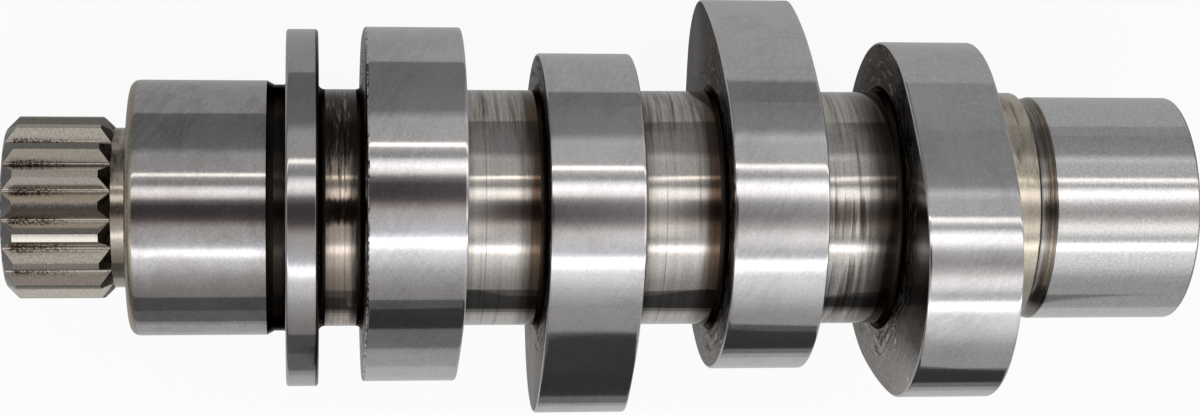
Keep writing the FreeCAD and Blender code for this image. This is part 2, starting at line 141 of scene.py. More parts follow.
steels = {
    "endFace": {
        "colour": (0.5, 0.475, 0.44), "rough": 0.3, "grain": {"height": 4e-07, "shade": 0.15},
        "stainAndShade": {"colour": (0.14, 0.1, 0.07), "cover": 0.25, "scale": (400, 400)}},
    "boreSteel": {
        "colour": (0.32, 0.29, 0.26), "rough": 0.35, "grain": {"height": 3e-07, "shade": 0.1},
        "stainAndShade": {"colour": (0.06, 0.045, 0.035), "cover": 0.4, "scale": (500, 500)}},
    "splineSteel": {
        "colour": (0.5, 0.465, 0.415), "rough": 0.16,
        "grain": {"height": 1.8e-07, "shade": 0.12, "around": 3500.0},
        "stainAndShade": {"colour": (0.06, 0.042, 0.03), "cover": 0.24, "scale": (3400, 3800), "soft": 0.07,
            "gapCover": 0.58, "gapColour": (0.19, 0.14, 0.1)}},
    "chamferSteel": {
        "colour": (0.2, 0.196, 0.195), "rough": 0.2,
        "grain": {"height": 2e-07, "shade": 0.1, "around": 3000.0},
        "stainAndShade": {"colour": (0.07, 0.06, 0.05), "cover": 0.2, "scale": (1500, 1500)}},
    "runOutSteel": {
        "colour": (0.06, 0.048, 0.038), "rough": 0.3,
        "grain": {"height": 3.5e-07, "shade": 0.15, "around": 3000.0},
        "stainAndShade": {"colour": (0.02, 0.014, 0.01), "cover": 0.5, "scale": (900, 900)}},
    "tanNeck": {
        "colour": (0.45, 0.4, 0.345), "rough": 0.13, "grain": {"height": 3e-07, "shade": 0.12},
        # the stain's cover across the shaft is painted shade on bands of the neck
        "stainAndShade": {"colour": (0.13, 0.1, 0.08), "scale": (900, 300), "soft": 0.16, "across": [(-10, 0.5),
            (-6, 0.5), (-4.2, 0.42), (-1.6, 0.3), (-0.4, 0.12), (3, 0.1), (10, 0.3)]},
        "lines": {"height": 2e-07, "shade": 0.06}},
    "tanRim": {
        "colour": (0.42, 0.375, 0.3), "rough": 0.28, "grain": {"height": 4e-07, "shade": 0.15},
        "stainAndShade": {"colour": (0.12, 0.09, 0.06), "cover": 0.2, "scale": (700, 300)},
        "lines": {"height": 3e-07, "shade": 0.1}},
    "groundJournal": {
        "colour": (0.54, 0.53, 0.533), "rough": 0.07,
        "grain": {"height": 1.5e-07, "shade": 0.1, "around": 3000.0},
        "stainAndShade": {"colour": (0.45, 0.437, 0.43), "cover": 0.5, "scale": (300, 300), "soft": 0.2,
            "rough": 0.015},
        "lines": {"height": 1e-07, "shade": 0.02}, "swirl": 0.12},
    # Near-black relief groove in front of the flange: painted shade in the recess
    "reliefPaintedShade": {
        "colour": (0.028, 0.024, 0.02), "rough": 0.16, "grain": {"height": 3e-07, "shade": 0.1},
        "edgeTint": (0.3, 0.28, 0.27), "lines": {"height": 6e-07, "shade": 0.4, "deepShade": 0.3}},
    # Near-black back edge of the flange and floor of the rear groove: painted shade, with darker blotches
    "edgeGroovePaintedShade": {
        "colour": (0.07, 0.055, 0.045), "rough": 0.18, "grain": {"height": 3e-07, "shade": 0.1},
        "stainAndShade": {"colour": (0.03, 0.024, 0.02), "cover": 0.6, "scale": (1600, 90)},
        "lines": {"height": 1e-06, "shade": 0.4, "deepShade": 0.3}},
    "flangeRim": {
        "colour": (0.53, 0.518, 0.528), "rough": 0.075,
        "grain": {"height": 1.4e-07, "shade": 0.07, "around": 3000.0},
        "lines": {"height": 1e-07, "shade": 0.02}, "swirl": 0.06},
    "lobeSide": {
        "colour": (0.3, 0.29, 0.282), "rough": 0.17, "grain": {"height": 3e-07, "shade": 0.16},
        "edgeTint": (0.3, 0.285, 0.275),
        # The side's colour darkens near the neck: painted shade
        "gouge": {"height": 1.2e-05, "innerColour": (0.175, 0.168, 0.163), "cutShade": 0.15,
            "ridgeShade": 2.2, "cutMetal": 0.1, "cutRough": 0.4},
        "stainAndShade": {"colour": (0.15, 0.143, 0.14), "cover": 0.2, "scale": (260, 260), "soft": 0.15},
        # The sides lighten across the shaft towards +Y: painted light
        "paintedLight": {"colour": (1.0, 0.98, 0.955), "across": [(-20, 0.0), (12.5, 0.0), (16.5, 0.6),
            (20, 0.9)]}},
    "darkNeck": {
        "colour": (0.5, 0.43, 0.37), "rough": 0.09, "grain": {"height": 2e-07, "shade": 0.08},
        # ends: painted shade, darkening the neck towards the faces at its ends
        "ends": {"colour": (0.012, 0.009, 0.007), "neck": "first", "front": 0.0024, "rear": 0.0024},
        # the stain's cover across the shaft is painted shade on bands of the neck
        "stainAndShade": {"colour": (0.035, 0.028, 0.022), "scale": (2600, 230), "soft": 0.14,
            "across": [(-15, 0.74), (-10.5, 0.7), (-8.4, 0.58), (-7.0, 0.46), (-4.1, 0.38), (-3.2, 0.88),
            (-1.6, 0.8), (-0.4, 0.34), (1.7, 0.12), (3.0, 0.2), (15, 0.42)]},
        "lines": {"height": 3e-07, "shade": 0.15, "deepShade": 0.4}},
    "streakedNeck": {
        "colour": (0.62, 0.585, 0.55), "rough": 0.07, "grain": {"height": 1.8e-07, "shade": 0.12},
        # ends: painted shade, darkening the neck towards the faces at its ends
        "ends": {"colour": (0.038, 0.032, 0.028), "neck": "between", "front": 0.0014, "rear": 0.0066},
        # the stain's cover across the shaft is painted shade on bands of the neck
        "stainAndShade": {"colour": (0.085, 0.066, 0.053), "scale": (1500, 60), "soft": 0.22,
            "across": [(-15, 0.38), (-4.2, 0.32), (-3.4, 0.56), (-1.4, 0.68), (0.9, 0.48), (1.8, 0.12),
            (2.9, 0.2), (4.6, 0.5), (8, 0.56), (15, 0.56)]},
        "lines": {"height": 3e-07, "shade": 0.15, "deepShade": 0.3}},
    # Near-black concave fillets where a neck meets a face: painted shade in the corners
    "cornerPaintedShade": {
        "colour": (0.03, 0.023, 0.018), "rough": 0.3, "grain": {"height": 3e-07, "shade": 0.15},
        "edgeTint": (0.3, 0.28, 0.27), "lines": {"height": 3e-07, "shade": 0.3, "deepShade": 0.4}},
    # Brown concave fillets behind each lobe: their darkness is painted shade in the corners, and the blotches
    # on them are stain
    "brownCornerShade": {
        "colour": (0.27, 0.225, 0.18), "rough": 0.18, "grain": {"height": 3e-07, "shade": 0.15},
        "stainAndShade": {"colour": (0.06, 0.04, 0.03), "cover": 0.4, "scale": (1500, 90), "soft": 0.12},
        "lines": {"height": 4e-07, "shade": 0.3, "deepShade": 0.4}},
    "turnedNeck": {
        "colour": (0.6, 0.57, 0.54), "rough": 0.07, "grain": {"height": 1.8e-07, "shade": 0.1},
        # ends: painted shade, darkening the neck towards the faces at its ends
        "ends": {"colour": (0.085, 0.058, 0.04), "neck": "between", "front": 0.0022, "rear": 0.0042},
        # the stain's cover across the shaft is painted shade on bands of the neck
        "stainAndShade": {"colour": (0.12, 0.09, 0.065), "scale": (1400, 60), "soft": 0.16,
            "across": [(-15, 0.5), (-12.6, 0.46), (-10.5, 0.28), (-4, 0.16), (4, 0.14), (15, 0.26)]},
        "lines": {"height": 2.5e-07, "shade": 0.13, "deepShade": 0.3}},
    "brightTrack": {
        "colour": (0.68, 0.67, 0.686), "rough": 0.07,
        "grain": {"height": 1.5e-07, "shade": 0.08, "around": 3000.0},
        "stainAndShade": {"colour": (0.6, 0.588, 0.594), "cover": 0.42, "scale": (260, 260), "soft": 0.2,
            "rough": 0.012},
        "lines": {"height": 1e-07, "shade": 0.02}, "swirl": 0.09},
    "satinTrack": {
        "colour": (0.71, 0.7, 0.713), "rough": 0.075,
        "grain": {"height": 1.5e-07, "shade": 0.08, "around": 3000.0},
        "stainAndShade": {"colour": (0.63, 0.617, 0.62), "cover": 0.38, "scale": (260, 260), "soft": 0.2,
            "rough": 0.012},
        "lines": {"height": 1e-07, "shade": 0.02}, "swirl": 0.08},
    "pittedEdge": {
        "colour": (0.62, 0.6, 0.59), "rough": 0.14,
        "grain": {"height": 2e-07, "shade": 0.1, "around": 3000.0},
        "stainAndShade": {"colour": (0.03, 0.025, 0.02), "cover": 0.5, "scale": (1500, 1300)}},
    "goldNeck": {
        "colour": (0.64, 0.575, 0.475), "rough": 0.15, "grain": {"height": 2.5e-07, "shade": 0.1},
        # the stain's cover across the shaft is painted shade on bands of the neck
        "stainAndShade": {"colour": (0.2, 0.165, 0.12), "scale": (900, 150), "soft": 0.15,
            "across": [(-15, 0.42), (-6, 0.4), (-3.5, 0.1), (3, 0.1), (15, 0.3)]},
        "lines": {"height": 3e-07, "shade": 0.1}},
    "streakedRing": {
        "colour": (0.36, 0.345, 0.33), "rough": 0.15, "grain": {"height": 2.5e-07, "shade": 0.1},
        "stainAndShade": {"colour": (0.07, 0.055, 0.045), "cover": 0.4, "scale": (3000, 90), "soft": 0.15},
        "lines": {"height": 5e-07, "shade": 0.4, "deepShade": 0.6, "density": 5000.0}},
    "brownBevel": {
        "colour": (0.25, 0.215, 0.175), "rough": 0.16, "grain": {"height": 3e-07, "shade": 0.12},
        "stainAndShade": {"colour": (0.07, 0.055, 0.04), "cover": 0.42, "scale": (2400, 120), "soft": 0.12},
        "lines": {"height": 5e-07, "shade": 0.45, "deepShade": 0.6, "density": 4200.0}},
    "rearJournalSteel": {
        "colour": (0.72, 0.71, 0.71), "rough": 0.09,
        "grain": {"height": 2.2e-07, "shade": 0.14, "around": 3000.0},
        "lines": {"height": 1e-07, "shade": 0.03}},
}

finishes = list(steels)

# Outlines: each gives the angle and the radius of a ring's vertex at a spoke


def spokeAngle(spoke):
    # The first spoke is half a pitch before the middle of the first gap
    return radians(splineShape["phase"]) + 2 * pi * (spoke / skin["spokes"] - 0.5 / splineShape["teeth"])


def plainRing(radius):
    return lambda spoke: (spokeAngle(spoke), radius)


def lobeRing(lobe, inset):
    # Three arcs seen from the axis: base circle, flank and nose, the same on both sides
    base = lobe["base"]
    noseOffset = base + lobe["lift"] - lobe["nose"]
    reach = lobe["flank"] - base
    spread = (reach ** 2 + noseOffset ** 2 - (lobe["flank"] - lobe["nose"]) ** 2) / (2 * reach * noseOffset)
    baseHalf = pi - acos(spread)
    flankX = -reach * cos(baseHalf)
    flankY = -reach * sin(baseHalf)
    noseHalf = atan2(-flankY, noseOffset - flankX)
    noseEdge = atan2(lobe["nose"] * sin(noseHalf), noseOffset + lobe["nose"] * cos(noseHalf))
    nosePoint = radians(lobe["angle"])

    def place(spoke):
        angle = spokeAngle(spoke)
        away = abs((angle - nosePoint + pi) % (2 * pi) - pi)
        if away >= baseHalf:
            return angle, base - inset
        if away <= noseEdge:
            offX, offY, radius = noseOffset, 0.0, lobe["nose"]
        else:
            offX, offY, radius = flankX, flankY, lobe["flank"]
        along = offX * cos(away) + offY * sin(away)
        across = offX * sin(away) - offY * cos(away)
        return angle, along + sqrt(radius ** 2 - across ** 2) - inset

    return place


def splineRing(envelope):
    # The gap's corners slide along its flanks as the turned envelope rises and falls
    gapSpokes = skin["spokes"] // splineShape["teeth"]
    half = gapSpokes // 2
    pitch = 2 * pi / splineShape["teeth"]
    cornerStep = splineShape["cornerStep"]
    root = splineShape["rootRadius"]
    rootHalf = splineShape["rootWidth"] / 2
    lean = tan(radians(splineShape["flankAngle"] / 2))
    # The arc that touches both flanks and the root's floor
    roundStep = splineShape["roundStep"]
    roundTurn = radians(90 - splineShape["flankAngle"] / 2)
    roundRadius = rootHalf / (sin(roundTurn) - (1 - cos(roundTurn)) * lean)
    roundTop = root + roundRadius * (1 - cos(roundTurn))

    def flankTop():
        # The height at which the flank meets the envelope
        a = 1 + lean ** 2
        b = 2 * lean * (rootHalf - root * lean)
        c = (rootHalf - root * lean) ** 2 - envelope ** 2
        return (-b + sqrt(b ** 2 - 4 * a * c)) / (2 * a)

    def place(spoke):
        tooth, local = divmod(spoke, gapSpokes)
        step = local - half
        side = 1 if step >= 0 else -1
        middle = radians(splineShape["phase"]) + tooth * pitch
        if envelope <= root:
            return middle + step * pitch / gapSpokes, envelope
        top = flankTop()
        if abs(step) >= cornerStep:
            cornerAngle = atan2(rootHalf + (top - root) * lean, top)
            share = (abs(step) - cornerStep) / (half - cornerStep)
            return middle + side * (cornerAngle + share * (pitch / 2 - cornerAngle)), envelope
        if step == 0:
            return middle, root
        if top > roundTop and abs(step) <= roundStep:
            turn = roundTurn * abs(step) / roundStep
            height = root + roundRadius * (1 - cos(turn))
            width = roundRadius * sin(turn)
        else:
            # The shallow end of a gap has a flat floor, one step wide on each side
            foot, footStep = (roundTop, roundStep) if top > roundTop else (root, 1)
            share = (abs(step) - footStep) / (cornerStep - footStep)
            height = foot + share * (top - foot)
            width = rootHalf + (height - root) * lean
        return middle + side * atan2(width, height), hypot(width, height)

    return place


# Rounded edges and corners, as places along the axis with the outline at each


def quarter(steps):
    return [0.5 * pi * step / steps for step in range(1, steps + 1)]


def plainRim(radius):
    return lambda inset: plainRing(radius - inset)


def frontEdge(face, size, steps, rim):
    # Convex round from a face that looks to +X on to its rim, which is given by its depth
    return [(face - size * (1 - cos(turn)), rim(size * (1 - sin(turn)))) for turn in quarter(steps)]


def backEdge(face, size, steps, rim):
    # Convex round from a rim on to the face behind it
    return [(face + size * (1 - sin(turn)), rim(size * (1 - cos(turn)))) for turn in quarter(steps)]


def neckEndsAtFace(face, radius, size):
    # Concave round from a neck on to the face behind it, which looks to +X
    turns = quarter(6)
    return [(face + size * (1 - sin(turn)), plainRing(radius + size * (1 - cos(turn)))) for turn in turns]


def neckStartsAtFace(face, radius, size):
    # Concave round from a face that looks to -X on to the neck behind it
    turns = [0.5 * pi - turn for turn in quarter(6)]
    return [(face - size * (1 - sin(turn)), plainRing(radius + size * (1 - cos(turn)))) for turn in turns]


# Zones of the skin from the splined end to the rear end: each is a finish with its rings in turn

taperEnd = -shaft["frontJournalHalf"] - shaft["reliefTaper"]
flangeFront = taperEnd - shaft["reliefLength"]
flangeBack = flangeFront - shaft["flangeThickness"]


def lobeFace(number):
    return flangeBack - shaft["firstNeckLength"] - number * shaft["lobePitch"]


neckEnd = lobeFace(len(lobes) - 1) - shaft["lobeWidth"] - shaft["rearNeckLength"]
rearTaperFront = neckEnd - shaft["grooveLength"]
rearJournalFront = rearTaperFront - shaft["rearTaper"]
rearEnd = rearJournalFront - shaft["rearJournalLength"]

# The necks that are darkened towards their ends with painted shade: where each starts, and its length
necks = {
    "first": (flangeBack, shaft["firstNeckLength"]),
    "between": (lobeFace(0) - shaft["lobeWidth"], shaft["lobePitch"] - shaft["lobeWidth"]),
}


def splinedEnd():
    chamfer = shaft["frontChamfer"]
    radius = shaft["splineRadius"]
    front = shaft["splineFront"] - chamfer
    run = shaft["splineBack"] + shaft["backTaper"]
    fall = radius - shaft["frontNeckRadius"]
    return [
        ("splineChamfer", [(shaft["splineFront"] - share * chamfer,
                            splineRing(radius - (1 - share) * chamfer))
                           for share in (0.12, 0.14, 0.2, 0.27, 0.36, 0.48, 0.62, 0.8, 1.0)]),
        ("splineSteel", [(front + share * (run - front), splineRing(radius))
                         for share in (0.25, 0.5, 0.75, 1.0)]),
        ("splineRunOut", [(run - share * shaft["backTaper"], splineRing(radius - share * fall))
                          for share in (0.2, 0.4, 0.58, 0.72, 0.82, 0.89, 0.92, 1.0)]),
    ]


def frontJournal():
    face = shaft["frontJournalHalf"]
    corner = shaft["frontNeckCorner"]
    neck = shaft["frontNeckRadius"]
    size = shaft["frontJournalRound"]
    radius = shaft["frontJournalRadius"]
    *rounded, rimStart = frontEdge(face, size, 8, plainRim(radius))
    low = radius - shaft["reliefDepth"]
    return [
        ("tanNeck", [(face + corner, plainRing(neck))]),
        ("tanNeck", neckEndsAtFace(face, neck, corner)),
        ("endFace", [(face, plainRing(radius - size))]),
        ("tanRim", rounded),
        ("groundJournal", [rimStart]),
        ("groundJournal", [(share * face, plainRing(radius)) for share in (0.83, 0.4, -0.4, -0.98, -1.0)]),
        # the relief groove is coloured near-black as painted shade
        ("reliefPaintedShade", [(x, plainRing(low)) for x in (taperEnd, flangeFront + shaft["reliefCorner"])]),
        ("reliefPaintedShade", neckEndsAtFace(flangeFront, low, shaft["reliefCorner"])),
    ]


def thrustFlange():
    size = shaft["flangeEdge"]
    band = shaft["edgeBand"]
    radius = shaft["flangeRadius"]
    corner = shaft["neckCorner"]
    neck = shaft["neckRadius"]
    return [
        ("endFace", [(flangeFront, plainRing(radius - size))]),
        ("flangeRim", frontEdge(flangeFront, size, 4, plainRim(radius))),
        ("flangeRim", [(x, plainRing(radius)) for x in (flangeFront - size - band, flangeBack + size + band,
                                                        flangeBack + size)]),
        # the flange's back edge is coloured near-black as painted shade
        ("edgeGroovePaintedShade", backEdge(flangeBack, size, 4, plainRim(radius))),
        ("lobeSide", [(flangeBack, plainRing(neck + corner))]),
        # the fillet behind the flange is coloured near-black as painted shade
        ("cornerPaintedShade", neckStartsAtFace(flangeBack, neck, corner)),
    ]


def lobeOnNeck(number, lobe):
    def rim(inset):
        return lobeRing(lobe, inset)

    face = lobeFace(number)
    back = face - shaft["lobeWidth"]
    size = shaft["lobeEdge"]
    band = shaft["edgeBand"]
    corner = shaft["neckCorner"]
    neck = shaft["neckRadius"]
    return [
        (lobe["neck"], [(face + corner, plainRing(neck))]),
        # the fillet in front of the lobe is coloured near-black as painted shade
        ("cornerPaintedShade", neckEndsAtFace(face, neck, corner)),
        ("lobeSide", [(face, rim(size))]),
        (lobe["edge"], frontEdge(face, size, 3, rim)),
        (lobe["track"], [(x, rim(0)) for x in (face - size - band, 0.5 * (face + back), back + size + band,
                                               back + size)]),
        (lobe["track"], backEdge(back, size, 3, rim)),
        ("lobeSide", [(back, plainRing(neck + corner))]),
        # the fillet behind the lobe is darkened brown as painted shade
        ("brownCornerShade", neckStartsAtFace(back, neck, corner)),
    ]


def rearJournal():
    neck = shaft["neckRadius"]
    neckEdge = shaft["rearNeckEdge"]
    low = shaft["grooveRadius"]
    radius = shaft["rearJournalRadius"]
    size = shaft["rearEdge"]
    band = shaft["edgeBand"]
    return [
        ("goldNeck", [(neckEnd + neckEdge, plainRing(neck))]),
        ("goldNeck", backEdge(neckEnd, neckEdge, 3, plainRim(neck))),
        # the groove's floor is coloured near-black as painted shade
        ("edgeGroovePaintedShade", [(neckEnd, plainRing(low)), (neckEnd - shaft["grooveDark"], plainRing(low))]),
        ("streakedRing", [(rearTaperFront, plainRing(low)),
                          (rearTaperFront - shaft["taperStart"], plainRing(low + shaft["taperStartRise"]))]),
        ("brownBevel", [(rearTaperFront + share * (rearJournalFront - rearTaperFront),
                         plainRing(low + share * (radius - low))) for share in (0.5, 1.0)]),
        ("rearJournalSteel", [(x, plainRing(radius)) for x in (
            rearJournalFront - band, 0.5 * (rearJournalFront + rearEnd), rearEnd + size + band,
            rearEnd + size)]),
        ("tanRim", backEdge(rearEnd, size, 3, plainRim(radius))),
    ]


def shaftZones():
    zones = splinedEnd() + frontJournal() + thrustFlange()
    for number, lobe in enumerate(lobes):
        zones += lobeOnNeck(number, lobe)
    return zones + rearJournal()


# The skin's mesh


def faceFinish(face, spokes, finish):
    # Where the spline starts and runs out, the ends of the lands have their own finish
    landEnd = {"splineRunOut": "runOutSteel", "splineChamfer": "chamferSteel"}.get(finish)
    if landEnd is None:
        return finish
    gapSpokes = skin["spokes"] // splineShape["teeth"]
    steps = [abs(vert[spokes] % gapSpokes - gapSpokes // 2) for vert in face.verts]
    return landEnd if min(steps) >= splineShape["cornerStep"] else "splineSteel"


def ofKind(items, kind):
    return [item for item in items if isinstance(item, kind)]


def growRing(bm, spokes, ring, x, place, finish):
    # The ring's edges are extruded, and each new vertex goes to its place on the next outline
    grown = bmesh.ops.extrude_edge_only(bm, edges=ring)["geom"]
    verts = set(ofKind(grown, BMVert))
    for vert in verts:
        angle, radius = place(vert[spokes])
        vert.co = Vector((x, radius * cos(angle), radius * sin(angle))) * mm
    for face in ofKind(grown, BMFace):
        face.material_index = finishes.index(faceFinish(face, spokes, finish))
    return [edge for edge in ofKind(grown, BMEdge) if verts.issuperset(edge.verts)]


def startRing(bm, spokes, count, x, place):
    circle = bmesh.ops.create_circle(bm, segments=count, radius=1.0)
    for number, vert in enumerate(circle["verts"]):
        vert[spokes] = number
        angle, radius = place(number)
        vert.co = Vector((x, radius * cos(angle), radius * sin(angle))) * mm
    return list(dict.fromkeys(edge for vert in circle["verts"] for edge in vert.link_edges))


def drillHole(bm, spokes, count, steps, finish):
    # A hole bored along the axis from its mouth to its point, as rings of radii given by place and spoke
    def at(radiusAt, x):
        return lambda spoke: (2 * pi * spoke / count, radiusAt(x, spoke / count))

    x, radiusAt = steps[0]
    mouth = startRing(bm, spokes, count, x, at(radiusAt, x))
    ring = mouth
    for x, radiusAt in steps[1:]:
        ring = growRing(bm, spokes, ring, x, at(radiusAt, x), finish)
    return mouth, ring


def closeRing(bm, ring, finish):
    for face in bmesh.ops.holes_fill(bm, edges=ring, sides=0)["faces"]:
        face.material_index = finishes.index(finish)


def joinRings(bm, outer, inner, finish):
    # A flat end face between its outline and the mouth of its hole
    filled = bmesh.ops.triangle_fill(bm, edges=outer + inner, use_beauty=True, normal=(1, 0, 0))["geom"]
    for face in ofKind(filled, BMFace):
        face.material_index = finishes.index(finish)


def evenly(radius):
    return lambda x, share: radius


def boltBoreSteps():
    front = shaft["splineFront"]
    bottom = front - shaft["boreDepth"]
    turnStart = front - shaft["boreMouthDepth"]
    pitch = shaft["threadPitch"]
    fadeEnd = turnStart + shaft["threadFade"] / 2

    def threaded(x, share):
        # A helical V groove, full in the middle of the bore and fading at its mouth
        phase = ((front - x) / pitch + share) % 1
        fade = min(1.0, max(0.0, (fadeEnd - x) / shaft["threadFade"]))
        return shaft["boreRadius"] + fade * shaft["threadDepth"] * (1 - abs(2 * phase - 1))

    tip = skin["boreTip"]
    rings, turns = skin["threadRings"], shaft["threadTurns"]
    thread = [(turnStart - pitch * number / rings, threaded) for number in range(turns * rings)]
    return [(front, evenly(shaft["boreMouthRadius"])), *thread,
            (bottom + shaft["plainBore"], evenly(shaft["boreRadius"])),
            (bottom, evenly(shaft["boreRadius"])),
            (bottom - shaft["borePoint"] * (1 - tip), evenly(shaft["boreRadius"] * tip))]


def centreHoleSteps():
    bottom = rearEnd + shaft["centrePilotDepth"]
    pilot = shaft["centrePilotRadius"]
    tip = skin["centreTip"]
    return [(rearEnd, evenly(shaft["centreMouthRadius"])),
            (rearEnd + shaft["centreMouthDepth"], evenly(pilot)),
            (bottom, evenly(pilot)),
            (bottom + shaft["centrePoint"] * (1 - tip), evenly(pilot * tip))]


def settleOrder(items, place):
    # The operators leave the order of what they make open
    order = {item: number for number, item in enumerate(sorted(items, key=place))}
    items.sort(key=order.get)
    items.index_update()


def makeCamshaft():
    bm = bmesh.new()
    spokes = bm.verts.layers.int.new("spoke")
    frontEnd = startRing(bm, spokes, skin["spokes"], shaft["splineFront"],
                         splineRing(shaft["splineRadius"] - shaft["frontChamfer"]))
    ring = frontEnd
    for finish, rings in shaftZones():
        for x, place in rings:
            ring = growRing(bm, spokes, ring, x, place, finish)
    mouth, point = drillHole(bm, spokes, skin["boreSpokes"], boltBoreSteps(), "boreSteel")
    joinRings(bm, frontEnd, mouth, "endFace")
    closeRing(bm, point, "boreSteel")
    mouth, point = drillHole(bm, spokes, skin["centreSpokes"], centreHoleSteps(), "endFace")
    joinRings(bm, ring, mouth, "endFace")
    closeRing(bm, point, "endFace")
    bmesh.ops.recalc_face_normals(bm, faces=bm.faces)
    settleOrder(bm.verts, lambda vert: tuple(vert.co))
    settleOrder(bm.edges, lambda edge: sorted(vert.index for vert in edge.verts))
    settleOrder(bm.faces, lambda face: sorted(vert.index for vert in face.verts))
    for face in bm.faces:
        face.smooth = True
    for edge in bm.edges:
        edge.smooth = edge.calc_face_angle(0) < radians(skin["sharpEdge"])
    mesh = bpy.data.meshes.new("camshaftSkin")
    bm.to_mesh(mesh)
    bm.free()
    piece = bpy.data.objects.new("camshaftSkin", mesh)
    bpy.context.scene.collection.objects.link(piece)
    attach(piece, "root")
    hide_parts("camshaft")
    print("camshaft skin made,", len(mesh.polygons), "faces")
    return piece


camshaft = makeCamshaft()


# Node helpers


def makeGroup(name, inputs, effect):
    # A node group whose effect, a function, makes its outputs from its inputs
    group = bpy.data.node_groups.new(name, "ShaderNodeTree")

    def addSocket(label, way):
        return group.interface.new_socket(name=label, in_out=way, socket_type="NodeSocketFloat")

    for label, value in inputs.items():
        addSocket(label, "INPUT").default_value = value
    results = effect(group, group.nodes.new("NodeGroupInput").outputs)
    for label in results:
        addSocket(label, "OUTPUT")
    leave = group.nodes.new("NodeGroupOutput")
    for label, value in results.items():
        group.links.new(value, leave.inputs[label])
    return group


def feed(tree, socket, value):
    # A socket takes either another node's output or a fixed value
    if isinstance(value, bpy.types.NodeSocket):
        tree.links.new(value, socket)
    else:
        socket.default_value = value


def computed(tree, operation, *values):
    node = tree.nodes.new("ShaderNodeMath")
    node.operation = operation
    for socket, value in zip(node.inputs, values):
        feed(tree, socket, value)
    return node.outputs[0]


def plus(tree, first, second):
    return computed(tree, "ADD", first, second)


def minus(tree, first, second):
    return computed(tree, "SUBTRACT", first, second)


def times(tree, first, second):
    return computed(tree, "MULTIPLY", first, second)


def objectPlace(tree):
    return tree.nodes.new("ShaderNodeTexCoord").outputs["Object"]


def separated(tree, vector):
    node = tree.nodes.new("ShaderNodeSeparateXYZ")
    tree.links.new(vector, node.inputs[0])
    return node.outputs


def stretched(tree, along, around):
    # Object coordinates scaled along the shaft and round it
    scale = tree.nodes.new("ShaderNodeCombineXYZ")
    for socket, value in zip(scale.inputs, (along, around, around)):
        feed(tree, socket, value)
    product = tree.nodes.new("ShaderNodeVectorMath")
    product.operation = "MULTIPLY"
    tree.links.new(objectPlace(tree), product.inputs[0])
    tree.links.new(scale.outputs[0], product.inputs[1])
    return product.outputs[0]


def noise(tree, place, detail, roughness=0.5, distortion=0.0):
    node = tree.nodes.new("ShaderNodeTexNoise")
    node.inputs["Scale"].default_value = 1.0
    node.inputs["Detail"].default_value = detail
    node.inputs["Roughness"].default_value = roughness
    node.inputs["Distortion"].default_value = distortion
    tree.links.new(place, node.inputs["Vector"])
    return node.outputs["Fac"]


def mapped(tree, value, fromLow, fromHigh, toLow=0.0, toHigh=1.0):
    node = tree.nodes.new("ShaderNodeMapRange")
    node.interpolation_type = "SMOOTHSTEP"
    for name, amount in (("Value", value), ("From Min", fromLow), ("From Max", fromHigh),
                         ("To Min", toLow), ("To Max", toHigh)):
        feed(tree, node.inputs[name], amount)
    return node.outputs["Result"]


def mixed(tree, share, first, second, blend="MIX"):
    node = tree.nodes.new("ShaderNodeMix")
    node.data_type = "RGBA"
    node.blend_type = blend
    feed(tree, node.inputs["Factor"], share)
    feed(tree, node.inputs["A"], first)
    feed(tree, node.inputs["B"], second)
    return node.outputs["Result"]


def ramped(tree, value, stops):
    # A colour for each place from 0 to 1; the first and last stops are the ramp's own
    ramp = tree.nodes.new("ShaderNodeValToRGB")
    points = ramp.color_ramp.elements
    for place, colour in stops[1:-1]:
        points.new(place)
    for point, (place, colour) in zip(points, stops):
        point.position = place
        point.color = opaque(colour)
    tree.links.new(value, ramp.inputs[0])
    return ramp.outputs["Color"]


def acrossShaft(tree, stops):
    # A value that changes across the shaft, given at places in millimetres from its axis towards +Y
    span = 40
    place = computed(tree, "DIVIDE", separated(tree, objectPlace(tree))["Y"], span * mm)
    shares = [(across / span + 0.5, (value, value, value)) for across, value in stops]
    return ramped(tree, plus(tree, place, 0.5), shares)


def fromAxis(tree):
    # Distance from the shaft's axis, and the place's own coordinates
    place = separated(tree, objectPlace(tree))
    squares = [times(tree, place[axis], place[axis]) for axis in ("Y", "Z")]
    return computed(tree, "SQRT", computed(tree, "ADD", *squares)), place


def opaque(colour):
    return (*colour, 1)


# Shared effects, as node groups; lengths in metres, densities per metre


def speckleEffect(group, given):
    # Fine grain of a ground or cut face: a wavering of level, and the height that goes with it
    grain = noise(group, stretched(group, given["Along"], given["Around"]), detail=2.0, roughness=0.6)
    return {"Level": grain, "Height": times(group, grain, given["Depth"])}


def turningEffect(group, given):
    # Lines left round the shaft by the tool, a few deeper than the rest
    lines = noise(group, stretched(group, given["Density"], given["Waver"]), detail=3.0, roughness=0.75)
    sparse = times(group, given["Density"], 0.55)
    rare = noise(group, stretched(group, sparse, given["Waver"]), detail=1.0)
    deep = mapped(group, rare, 0.62, 0.72)
    cut = minus(group, lines, times(group, deep, 1.2))
    return {"Level": lines, "Deep": deep, "Height": times(group, cut, given["Depth"])}


def stainAndShadeEffect(group, given):
    # Blotches of residue or tarnish that cover a set share of the face; where that share is set across the
    # shaft, they also carry painted shade
    cloud = noise(group, stretched(group, given["Along"], given["Around"]), detail=5.0, roughness=0.68,
                  distortion=0.4)
    edge = mapped(group, given["Cover"], 0.0, 1.0, 0.78, 0.28)
    low = minus(group, edge, given["Softness"])
    high = plus(group, edge, given["Softness"])
    return {"Mask": mapped(group, cloud, low, high)}


